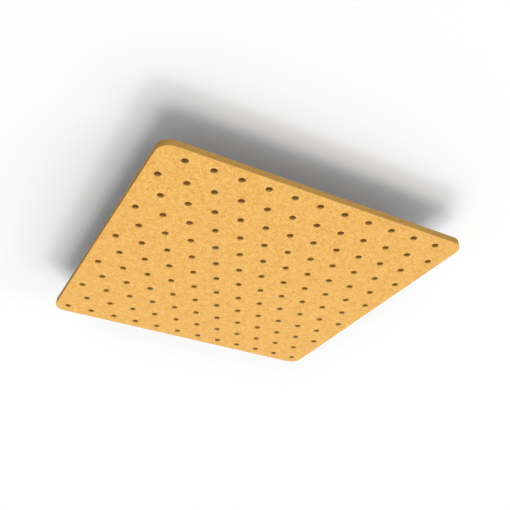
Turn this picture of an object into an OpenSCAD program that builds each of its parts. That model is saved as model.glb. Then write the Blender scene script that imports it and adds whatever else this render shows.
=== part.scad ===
// Perforated ceiling panel: one flat board of thick pressed felt with rounded corners, square-cut edges
// and a staggered field of round through holes.
// The origin is the centre of the back face, the one turned to the ceiling. +Z points up to the ceiling,
// so the face seen from the room lies below zero. X runs along the rows of holes, and -Y is the edge beside
// a short row.

/* [Board] */
// Length of the board, along the rows of holes
board_length = 1200; // [600:50:2400]
// Width of the board, across the rows of holes
board_width = 1200; // [600:50:2400]
// Thickness of the felt
board_thickness = 24; // [9:1:50]
// Radius of the rounded corners
corner_radius = 50; // [10:5:80]

/* [Perforation] */
// Diameter of the holes
hole_diameter = 25; // [8:1:40]
// Distance between neighbouring holes of a row
hole_pitch = 100; // [60:5:200]
// Distance between neighbouring rows
row_pitch = 100; // [60:5:200]
// Smallest distance from the middle of a hole to the edge of the board
edge_margin = 50; // [40:5:100]

/* [Hidden] */
$fn = 64;

// Holes in a long row. A short row lies half a pitch to the side and has one hole less
long_row_holes = floor((board_length - 2 * edge_margin) / hole_pitch) + 1;
row_count = floor((board_width - 2 * edge_margin) / row_pitch) + 1;

// The board's outline: a rectangle with a quarter circle at each corner, centred on the origin
module rounded_outline(length, width, radius) {
  square([length - 2 * radius, width], center = true);
  square([length, width - 2 * radius], center = true);
  for (side_x = [-1, 1], side_y = [-1, 1])
    translate([side_x * (length / 2 - radius), side_y * (width / 2 - radius)])
      circle(r = radius);
}

// One row of holes, centred on X = 0
module hole_row(holes) {
  for (i = [0 : holes - 1])
    translate([(i - (holes - 1) / 2) * hole_pitch, 0])
      circle(d = hole_diameter);
}

// All rows, centred on the board. The rows change between short and long, from a short one at -Y
module perforation() {
  for (row = [0 : row_count - 1])
    translate([0, (row - (row_count - 1) / 2) * row_pitch])
      hole_row(row % 2 == 0 ? long_row_holes - 1 : long_row_holes);
}

// The felt board, cut from one sheet, with its back face at Z = 0
module felt_board() {
  color("#F0BB67")
    translate([0, 0, -board_thickness])
      linear_extrude(height = board_thickness)
        difference() {
          rounded_outline(board_length, board_width, corner_radius);
          perforation();
        }
}

felt_board();
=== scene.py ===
import math

import bpy
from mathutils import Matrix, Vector


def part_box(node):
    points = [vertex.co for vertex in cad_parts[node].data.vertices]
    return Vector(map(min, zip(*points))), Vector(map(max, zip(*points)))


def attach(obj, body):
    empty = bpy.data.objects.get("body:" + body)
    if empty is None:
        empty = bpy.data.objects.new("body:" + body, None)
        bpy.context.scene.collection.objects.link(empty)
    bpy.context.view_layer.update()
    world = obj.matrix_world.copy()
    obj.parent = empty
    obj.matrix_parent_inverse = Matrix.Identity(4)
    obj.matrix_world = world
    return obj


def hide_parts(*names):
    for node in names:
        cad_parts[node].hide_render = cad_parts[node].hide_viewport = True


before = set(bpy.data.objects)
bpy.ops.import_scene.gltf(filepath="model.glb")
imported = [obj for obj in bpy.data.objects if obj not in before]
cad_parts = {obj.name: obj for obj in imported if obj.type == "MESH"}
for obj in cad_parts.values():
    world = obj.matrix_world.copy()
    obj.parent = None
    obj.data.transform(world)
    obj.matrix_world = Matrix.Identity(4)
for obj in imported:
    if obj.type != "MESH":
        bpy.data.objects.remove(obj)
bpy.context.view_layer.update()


# The board is one sheet of needled polyester felt, pressed hard and flat. Its outline and its round
# holes are cut straight through it, so every edge is square, with only the sharp arris worn off.
board_low, board_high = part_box("felt_board")
half_length, half_width = board_high.x, board_high.y
hole_pitch = 0.100
hole_radius = 0.0125
corner_radius = 0.050
arris_radius = 0.0003

# Mesh steps: along one side of the square cell round each hole, from the hole's rim to the cell's edge,
# and round an arris. The rings of a cell crowd towards the rim.
cell_steps = 8
ring_steps = 3
ring_crowding = 1.5
arris_steps = 3

# Points that agree to this many digits of a metre are one point
point_digits = 6


def on_plan(x, y):
    """A point of the square plan, moved so that the plan's corners become quarter circles.

    The plan ends where the visible face does, an arris inside the board's outline.
    """
    inset_radius = corner_radius - arris_radius
    centre_x, centre_y = half_length - corner_radius, half_width - corner_radius
    over_x, over_y = abs(x) - centre_x, abs(y) - centre_y
    if over_x > 0 and over_y > 0:
        reach = min(max(over_x, over_y), inset_radius)
        turn = min(over_x, over_y) / max(over_x, over_y) * math.pi / 4
        along, across = reach * math.cos(turn), reach * math.sin(turn)
        over_x, over_y = (along, across) if over_x > over_y else (across, along)
    over_x, over_y = min(over_x, inset_radius), min(over_y, inset_radius)
    return math.copysign(centre_x + over_x, x), math.copysign(centre_y + over_y, y)


plan_points, plan_faces, point_numbers = [], [], {}


def plan_point(x, y):
    """The number of the plan's point at x, y. Neighbouring cells share their points."""
    key = (round(x, point_digits), round(y, point_digits))
    if key not in point_numbers:
        point_numbers[key] = len(plan_points)
        plan_points.append((x, y))
    return point_numbers[key]


def fill_between(inner, outer):
    """Quads between two rings of as many points."""
    for i in range(len(inner)):
        j = (i + 1) % len(inner)
        plan_faces.append((inner[i], outer[i], outer[j], inner[j]))


def add_cell(centre_x, centre_y):
    """The square of felt round one hole: rings of quads from the hole's rim out to the cell's edge."""
    rim, edge = [], []
    for i in range(4 * cell_steps):
        turn = math.radians(45 + 90 * i / cell_steps)
        rim.append(Vector((math.cos(turn), math.sin(turn))) * (hole_radius + arris_radius))
        side, step = divmod(i, cell_steps)
        slide = (0.5 - step / cell_steps) * hole_pitch
        x, y = [(slide, 0.5 * hole_pitch), (-0.5 * hole_pitch, slide),
                (-slide, -0.5 * hole_pitch), (0.5 * hole_pitch, -slide)][side]
        x, y = on_plan(centre_x + x, centre_y + y)
        edge.append(Vector((x - centre_x, y - centre_y)))
    rings = []
    for step in range(ring_steps + 1):
        share = (step / ring_steps) ** ring_crowding
        spots = [a.lerp(b, share) for a, b in zip(rim, edge)]
        rings.append([plan_point(centre_x + s.x, centre_y + s.y) for s in spots])
    for inner, outer in zip(rings, rings[1:]):
        fill_between(inner, outer)


def add_blank(first_x, row_y):
    """The half cell without a hole at the end of a short row, from first_x towards +X."""
    step = hole_pitch / cell_steps
    for i in range(cell_steps // 2):
        for j in range(cell_steps):
            x, y = first_x + i * step, row_y - hole_pitch / 2 + j * step
            corners = [(x, y), (x + step, y), (x + step, y + step), (x, y + step)]
            plan_faces.append(tuple(plan_point(*on_plan(*corner)) for corner in corners))


row_count = round(2 * half_width / hole_pitch)
long_row_holes = round(2 * half_length / hole_pitch)
for row in range(row_count):
    row_y = -half_width + (row + 0.5) * hole_pitch
    holes = long_row_holes - 1 if row % 2 == 0 else long_row_holes
    for i in range(holes):
        add_cell((i - (holes - 1) / 2) * hole_pitch, row_y)
    if holes < long_row_holes:
        add_blank(-half_length, row_y)
        add_blank(half_length - hole_pitch / 2, row_y)

# The plan's open edges, each with felt on its left, and the way out of the felt at each of their points
face_edges = {(face[i - 1], face[i]) for face in plan_faces for i in range(len(face))}
open_edges = sorted(edge for edge in face_edges if (edge[1], edge[0]) not in face_edges)
ways_out = {}
for start, end in open_edges:
    run = Vector(plan_points[end]) - Vector(plan_points[start])
    for number in (start, end):
        ways_out[number] = ways_out.get(number, Vector((0, 0))) + Vector((run.y, -run.x)).normalized()

# The cut's section from the visible face up to the back: a worn arris, the straight cut, a worn arris
arris_turns = [math.pi / 2 * step / arris_steps for step in range(arris_steps + 1)]
section = [(arris_radius * math.sin(turn), board_low.z + arris_radius * (1 - math.cos(turn)))
           for turn in arris_turns]
section += [(out, board_low.z + board_high.z - height) for out, height in reversed(section)]

points, faces = [], []
levels = []
for out, height in section:
    level = {}
    for number, way in ways_out.items():
        x, y = Vector(plan_points[number]) + way.normalized() * out
        level[number] = len(points)
        points.append((x, y, height))
    levels.append(level)
for level, height in ((levels[0], board_low.z), (levels[-1], board_high.z)):
    for number, (x, y) in enumerate(plan_points):
        if number not in level:
            level[number] = len(points)
            points.append((x, y, height))
flat_faces = 2 * len(plan_faces)
faces += [tuple(levels[0][number] for number in reversed(face)) for face in plan_faces]
faces += [tuple(levels[-1][number] for number in face) for face in plan_faces]
for below, above in zip(levels, levels[1:]):
    faces += [(below[start], below[end], above[end], above[start]) for start, end in open_edges]

board_mesh = bpy.data.meshes.new("felt_board_cut")
board_mesh.from_pydata(points, [], faces)
board_mesh.update()

# Cut faces farther out than all holes are the board's edge, and the others are the walls of holes, whose
# felt is made darker with painted shade. The materials, added below, stand in this order after that of the
# flat faces.
edge_slot, hole_slot = 1, 2
edge_start = half_length - hole_pitch / 4
for polygon in board_mesh.polygons:
    if polygon.index >= flat_faces:
        polygon.use_smooth = True
        on_edge = max(abs(polygon.center.x), abs(polygon.center.y)) > edge_start
        polygon.material_index = edge_slot if on_edge else hole_slot
board = bpy.data.objects.new("felt_board_cut", board_mesh)
bpy.context.scene.collection.objects.link(board)


def add_node(tree, kind, inputs=None, **settings):
    """A new node with its properties set. An input is given as a value or as another node's output."""
    node = tree.nodes.new(kind)
    for name, value in settings.items():
        setattr(node, name, value)
    for name, value in (inputs or {}).items():
        if isinstance(value, bpy.types.NodeSocket):
            tree.links.new(value, node.inputs[name])
        else:
            node.inputs[name].default_value = value
    return node


def add_math(tree, operation, *values):
    """The result of a math node on numbers or other nodes' outputs."""
    return add_node(tree, "ShaderNodeMath", dict(enumerate(values)), operation=operation).outputs[0]


def add_vector_math(tree, operation, *values):
    """The result of a vector math node. A number in it is a scale."""
    inputs = {"Scale" if operation == "SCALE" and i == 1 else i: value for i, value in enumerate(values)}
    return add_node(tree, "ShaderNodeVectorMath", inputs, operation=operation).outputs[0]


def add_range(tree, value, start, end, at_start=0.0, at_end=1.0):
    """A value that runs from at_start to at_end while the given one runs from start to end."""
    inputs = {"Value": value, "From Min": start, "From Max": end, "To Min": at_start, "To Max": at_end}
    return add_node(tree, "ShaderNodeMapRange", inputs).outputs[0]


def add_noise(tree, place, scale, detail=0.0, roughness=0.5):
    """A noise node, with one field as its first output and three more in its colour."""
    inputs = {"Vector": place, "Scale": scale, "Detail": detail, "Roughness": roughness}
    return add_node(tree, "ShaderNodeTexNoise", inputs)


def mix_colours(tree, share, first, second):
    """A colour between two. Sockets 6, 7 and 2 of a Mix node are its two colours and the result."""
    return add_node(tree, "ShaderNodeMix", {0: share, 6: first, 7: second}, data_type="RGBA").outputs[2]


def add_group(name, inputs, outputs):
    """An empty node group with named inputs, each with its usual value, and outputs: its tree and ends."""
    tree = bpy.data.node_groups.new(name, "ShaderNodeTree")
    for title, value in inputs.items():
        kind = "NodeSocketVector" if value is None else "NodeSocketFloat"
        socket = tree.interface.new_socket(name=title, in_out="INPUT", socket_type=kind)
        if value is not None:
            socket.default_value = value
    for title in outputs:
        tree.interface.new_socket(name=title, in_out="OUTPUT", socket_type="NodeSocketFloat")
    return tree, tree.nodes.new("NodeGroupInput"), tree.nodes.new("NodeGroupOutput")


# Pressed fibres lie flat, in six directions of the plane, curled and matted into clumps and knots. Each
# direction has a noise stretched along it. A light strand runs where its red field is near the middle and
# a dark gap where its green one is, and the blue field breaks both up into short lengths.
noise_middle = 0.5
fibre_relief = 0.0001
fibre_turns = [0.2, 1.6, 0.9, 2.4, 2.9, 0.55]
fibre_shift = (0.11, 0.07, 0.0)
strand_reach = 0.08
strand_fields = [("Red", 0.60, 0.66), ("Green", 0.40, 0.34)]
curl_scale, curl_detail = 55.0, 2.0
matting_detail = {"Clump": 3.0, "Knot": 2.0}
matting_roughness = 0.7
matting_relief = 1.5
dye_scale, dye_detail, dye_roughness = 70.0, 3.0, 0.6
dye_start, dye_end = 0.35, 0.65

fibres, given, made = add_group(
    "pressed_fibres",
    {"Vector": None, "Fibre Length": 0.030, "Fibre Width": 0.0030, "Curl": 0.008, "Fibre Contrast": 0.8,
     "Clump Size": 0.03, "Clump Contrast": 0.75, "Knot Size": 0.0042, "Knot Contrast": 1.0},
    ["Tone", "Height", "Dye Blend"])
place = given.outputs["Vector"]
curl = add_noise(fibres, place, curl_scale, curl_detail).outputs["Color"]
curl = add_vector_math(fibres, "SUBTRACT", curl, (noise_middle, noise_middle, noise_middle))
curl = add_vector_math(fibres, "SCALE", curl, given.outputs["Curl"])
curled = add_vector_math(fibres, "ADD", place, curl)
fibre_size = add_node(fibres, "ShaderNodeCombineXYZ",
                      {"X": given.outputs["Fibre Length"],
                       "Y": given.outputs["Fibre Width"],
                       "Z": given.outputs["Fibre Width"]})
light_strands, dark_gaps = None, None
for i, turn in enumerate(fibre_turns):
    shift = tuple(part * i for part in fibre_shift)
    turned = add_node(fibres, "ShaderNodeMapping",
                      {"Vector": curled, "Location": shift, "Rotation": (0, 0, turn),
                       "Scale": fibre_size.outputs[0]},
                      vector_type="TEXTURE")
    strands = add_noise(fibres, turned.outputs[0], scale=1.0)
    fields = add_node(fibres, "ShaderNodeSeparateColor", {0: strands.outputs["Color"]})
    picked = []
    for field, gate_start, gate_end in strand_fields:
        from_middle = add_math(fibres, "SUBTRACT", fields.outputs[field], noise_middle)
        from_middle = add_math(fibres, "ABSOLUTE", from_middle)
        gate = add_range(fibres, fields.outputs["Blue"], gate_start, gate_end)
        picked.append(add_range(fibres, from_middle, 0.0, strand_reach, at_start=gate, at_end=0.0))
    if i > 0:
        picked = [add_math(fibres, "MAXIMUM", strand, others)
                  for strand, others in zip(picked, (light_strands, dark_gaps))]
    light_strands, dark_gaps = picked
relief = add_math(fibres, "SUBTRACT", light_strands, dark_gaps)
tone = add_math(fibres, "MULTIPLY_ADD", relief, given.outputs["Fibre Contrast"], noise_middle)
height = relief
for kind, detail in matting_detail.items():
    scale = add_math(fibres, "DIVIDE", 1.0, given.outputs[kind + " Size"])
    matting = add_noise(fibres, place, scale, detail, matting_roughness).outputs[0]
    matting = add_math(fibres, "SUBTRACT", matting, noise_middle)
    tone = add_math(fibres, "MULTIPLY_ADD", matting, given.outputs[kind + " Contrast"], tone)
    height = add_math(fibres, "MULTIPLY_ADD", matting, matting_relief, height)
dye = add_noise(fibres, place, dye_scale, dye_detail, dye_roughness).outputs[0]
dye = add_range(fibres, dye, dye_start, dye_end)
fibres.links.new(tone, made.inputs["Tone"])
fibres.links.new(height, made.inputs["Height"])
fibres.links.new(dye, made.inputs["Dye Blend"])


# A cut through the pressed fibres shows them as long thin layers, which follow the plane of the board
layer_detail, layer_roughness = 3.0, 0.6

layers, given, made = add_group(
    "cut_layers", {"Vector": None, "Layer Length": 0.08, "Layer Thickness": 0.0022}, ["Tone"])
layer_size = add_node(layers, "ShaderNodeCombineXYZ",
                      {"X": given.outputs["Layer Length"],
                       "Y": given.outputs["Layer Length"],
                       "Z": given.outputs["Layer Thickness"]})
flattened = add_node(layers, "ShaderNodeMapping",
                     {"Vector": given.outputs["Vector"], "Scale": layer_size.outputs[0]},
                     vector_type="TEXTURE")
layer_tone = add_noise(layers, flattened.outputs[0], 1.0, layer_detail, layer_roughness).outputs[0]
layer_tone = add_math(layers, "SUBTRACT", layer_tone, noise_middle)
layers.links.new(layer_tone, made.inputs["Tone"])


# The felt's colour runs from that of its matted gaps to that of its raised fibres, with blotches where
# a second, redder dye shows.
felt_finish = {"Roughness": 1.0, "Specular IOR Level": 0.1, "Sheen Weight": 0.06, "Sheen Roughness": 0.5}
second_dye_tint = (1.0, 0.88, 0.62, 1.0)
second_dye_share = 0.3


def felt_material(name, dark_colour, light_colour, layer_contrast=0.0, **fibre_values):
    """A felt between two colours. One with a layer contrast is a cut face and shows layers."""
    material = bpy.data.materials.new(name)
    material.use_nodes = True
    tree = material.node_tree
    shader = tree.nodes["Principled BSDF"]
    for title, value in felt_finish.items():
        shader.inputs[title].default_value = value
    place = add_node(tree, "ShaderNodeTexCoord").outputs["Object"]
    matted = add_node(tree, "ShaderNodeGroup", node_tree=fibres)
    tree.links.new(place, matted.inputs["Vector"])
    for title, value in fibre_values.items():
        matted.inputs[title.replace("_", " ").title()].default_value = value
    tone = matted.outputs["Tone"]
    if layer_contrast > 0:
        layered = add_node(tree, "ShaderNodeGroup", node_tree=layers)
        tree.links.new(place, layered.inputs["Vector"])
        tone = add_math(tree, "MULTIPLY_ADD", layered.outputs["Tone"], layer_contrast, tone)
    colour = mix_colours(tree, tone, dark_colour, light_colour)
    second_dye = tuple(part * tint for part, tint in zip(light_colour, second_dye_tint))
    dye_share = add_math(tree, "MULTIPLY", matted.outputs["Dye Blend"], second_dye_share)
    colour = mix_colours(tree, dye_share, colour, second_dye)
    tree.links.new(colour, shader.inputs["Base Color"])
    bump = add_node(tree, "ShaderNodeBump", {"Distance": fibre_relief, "Height": matted.outputs["Height"]})
    tree.links.new(bump.outputs[0], shader.inputs["Normal"])
    return material


cut_look = {"layer_contrast": 1.5, "fibre_width": 0.0018, "knot_contrast": 0.4}
face_felt = felt_material("yellow_felt",
                          dark_colour=(0.722, 0.315, 0.0446, 1),
                          light_colour=(0.975, 0.616, 0.195, 1))
edge_felt = felt_material("cut_felt_edge",
                          dark_colour=(0.678, 0.320, 0.0535, 1),
                          light_colour=(0.919, 0.585, 0.191, 1), **cut_look)
# The walls of the holes are the cut felt made darker still: that extra darkness is painted shade of the
# holes' depth.
hole_felt_painted_shade = felt_material("punched_felt_painted_shade",
                          dark_colour=(0.552, 0.315, 0.076, 1),
                          light_colour=(0.770, 0.539, 0.188, 1), **cut_look)
for felt in (face_felt, edge_felt, hole_felt_painted_shade):
    board_mesh.materials.append(felt)

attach(board, "root")
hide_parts("felt_board")


# The ceiling that the board hangs under: a flat white plane, seen only from below. It takes the board's
# shadow and gives no light back. Its gap keeps it below the cameras that look at the board's edge from
# just above, which would else see the shadow as a dark line.
ceiling_gap = 0.119
backdrop_reach = 15.0


def add_backdrop(name, height, facing_up):
    """A wide horizontal plane with its front up or down, which casts no shadow and lights nothing."""
    corners = [(-1, -1), (1, -1), (1, 1), (-1, 1)]
    if not facing_up:
        corners.reverse()
    points = [(x * backdrop_reach, y * backdrop_reach, height) for x, y in corners]
    mesh = bpy.data.meshes.new(name)
    mesh.from_pydata(points, [], [(0, 1, 2, 3)])
    plane = bpy.data.objects.new(name, mesh)
    bpy.context.scene.collection.objects.link(plane)
    plane.visible_shadow = False
    plane.visible_diffuse = False
    plane.visible_glossy = False
    return plane


def one_sided(name, front_glow):
    """White paint for a plane's front, partly glowing to soften the shadows on it. Its back is clear."""
    material = bpy.data.materials.new(name)
    material.use_nodes = True
    tree = material.node_tree
    tree.nodes.clear()
    white = 1 - front_glow
    paint = add_node(tree, "ShaderNodeBsdfDiffuse", {"Color": (white, white, white, 1)})
    glow = add_node(tree, "ShaderNodeEmission", {"Strength": front_glow})
    front = add_node(tree, "ShaderNodeAddShader", {0: paint.outputs[0], 1: glow.outputs[0]})
    clear = add_node(tree, "ShaderNodeBsdfTransparent")
    geometry = add_node(tree, "ShaderNodeNewGeometry")
    side = add_node(tree, "ShaderNodeMixShader",
                    {0: geometry.outputs["Backfacing"], 1: front.outputs[0], 2: clear.outputs[0]})
    add_node(tree, "ShaderNodeOutputMaterial", {"Surface": side.outputs[0]})
    return material


ceiling = add_backdrop("ceiling", board_high.z + ceiling_gap, facing_up=False)
ceiling.data.materials.append(one_sided("ceiling_white", front_glow=0.0))


# A pale floor under the board, seen only from above, for the views of the board's back. It takes the
# shadow of the lamp above, with the light that falls through the holes.
floor_drop = 0.35
floor = add_backdrop("floor", board_low.z - floor_drop, facing_up=True)
floor.data.materials.append(one_sided("floor_white", front_glow=0.65))


# Soft studio light from below, as in a pale room: even light, more of it from just under the horizon,
# most of that on the +X and +Y sides, and five soft lamps that shine up at the board. Each share is how
# much of white the light gives to a level face. The background is white.
room_share = 0.291
horizon_share = 0.050
horizon_height = math.sin(math.radians(14))
horizon_lean = (0.717, 0.697, 0.0)

world = bpy.data.worlds.new("pale_room")
bpy.context.scene.world = world
world.use_nodes = True
tree = world.node_tree
tree.nodes.clear()
direction = add_node(tree, "ShaderNodeTexCoord").outputs["Generated"]
rise = add_node(tree, "ShaderNodeSeparateXYZ", {0: direction}).outputs["Z"]
below = add_math(tree, "LESS_THAN", rise, 0.0)
level = add_math(tree, "MULTIPLY", below, room_share)

# A level face takes in only the square of the band's height from the band, and its strength makes up for it
band_strength = horizon_share / horizon_height ** 2
in_band = add_math(tree, "COMPARE", rise, -horizon_height / 2, horizon_height / 2)
lean = add_node(tree, "ShaderNodeVectorMath", {0: direction, 1: horizon_lean}, operation="DOT_PRODUCT")
lean = add_math(tree, "ADD", lean.outputs["Value"], 1.0)
band = add_math(tree, "MULTIPLY", in_band, lean)
level = add_math(tree, "MULTIPLY_ADD", band, band_strength, level)

# What the camera sees of the background, and what gloss and glass would show of it, is white. Sockets 2
# and 3 of a Mix node are its two numbers.
rays = add_node(tree, "ShaderNodeLightPath")
seen = add_math(tree, "MAXIMUM", rays.outputs["Is Camera Ray"], rays.outputs["Is Glossy Ray"])
seen = add_math(tree, "MAXIMUM", seen, rays.outputs["Is Transmission Ray"])
strength = add_node(tree, "ShaderNodeMix", {0: seen, 2: level, 3: 1.0}).outputs[0]
background = add_node(tree, "ShaderNodeBackground", {"Color": (1, 1, 1, 1), "Strength": strength})
add_node(tree, "ShaderNodeOutputWorld", {"Surface": background.outputs[0]})


def add_sun(name, ray, share, spread):
    """A sun lamp that shines along a ray and lights a level face to a share of white."""
    data = bpy.data.lights.new(name, "SUN")
    data.angle = spread
    data.energy = math.pi * share / abs(ray.normalized().z)
    sun = bpy.data.objects.new(name, data)
    sun.rotation_mode = "QUATERNION"
    sun.rotation_quaternion = ray.to_track_quat("-Z", "Y")
    bpy.context.scene.collection.objects.link(sun)
    return sun


add_sun("upright_lamp", ray=Vector((-0.049, -0.064, 1)), share=0.165, spread=math.radians(31.7))
add_sun("wide_lamp", ray=Vector((-0.911, -1.045, 1)), share=0.295, spread=math.radians(77.3))
add_sun("crisp_lamp", ray=Vector((-0.647, -0.805, 1)), share=0.106, spread=math.radians(12.3))
add_sun("low_lamp", ray=Vector((-2.281, 1.767, 1)), share=0.054, spread=math.radians(24.8))
add_sun("front_lamp", ray=Vector((2.274, 4.0, 1)), share=0.0536, spread=math.radians(14.7))

# A lamp above, for the views of the back. It counts only on what the camera sees directly, before any
# bounce, so that it never reaches the ceiling by way of the back.
lamp_above = add_sun("lamp_above", ray=Vector((-0.055, -0.055, -1.0)), share=1.05, spread=math.radians(6.5))
lamp_above.data.use_nodes = True
tree = lamp_above.data.node_tree
rays = add_node(tree, "ShaderNodeLightPath")
before_bounces = add_math(tree, "LESS_THAN", rays.outputs["Diffuse Depth"], 0.5)
tree.links.new(before_bounces, tree.nodes["Emission"].inputs["Strength"])


# The camera stands below the board, out beyond its corner at -X and -Y, where the photograph was taken
# from, and looks up at it through a normal lens.
camera_stand = Vector((-1.1225, -2.1426, -1.4441))
camera_aim = Vector((-0.0490, -0.1773, -0.0240))
camera_data = bpy.data.cameras.new("camera")
camera_data.lens = 50
camera_data.sensor_width = 36
camera = bpy.data.objects.new("camera", camera_data)
camera.location = camera_stand
camera.rotation_mode = "QUATERNION"
camera.rotation_quaternion = (camera_aim - camera_stand).to_track_quat("-Z", "Y")
bpy.context.scene.collection.objects.link(camera)
bpy.context.scene.camera = camera
bpy.context.scene.view_settings.view_transform = "Standard"
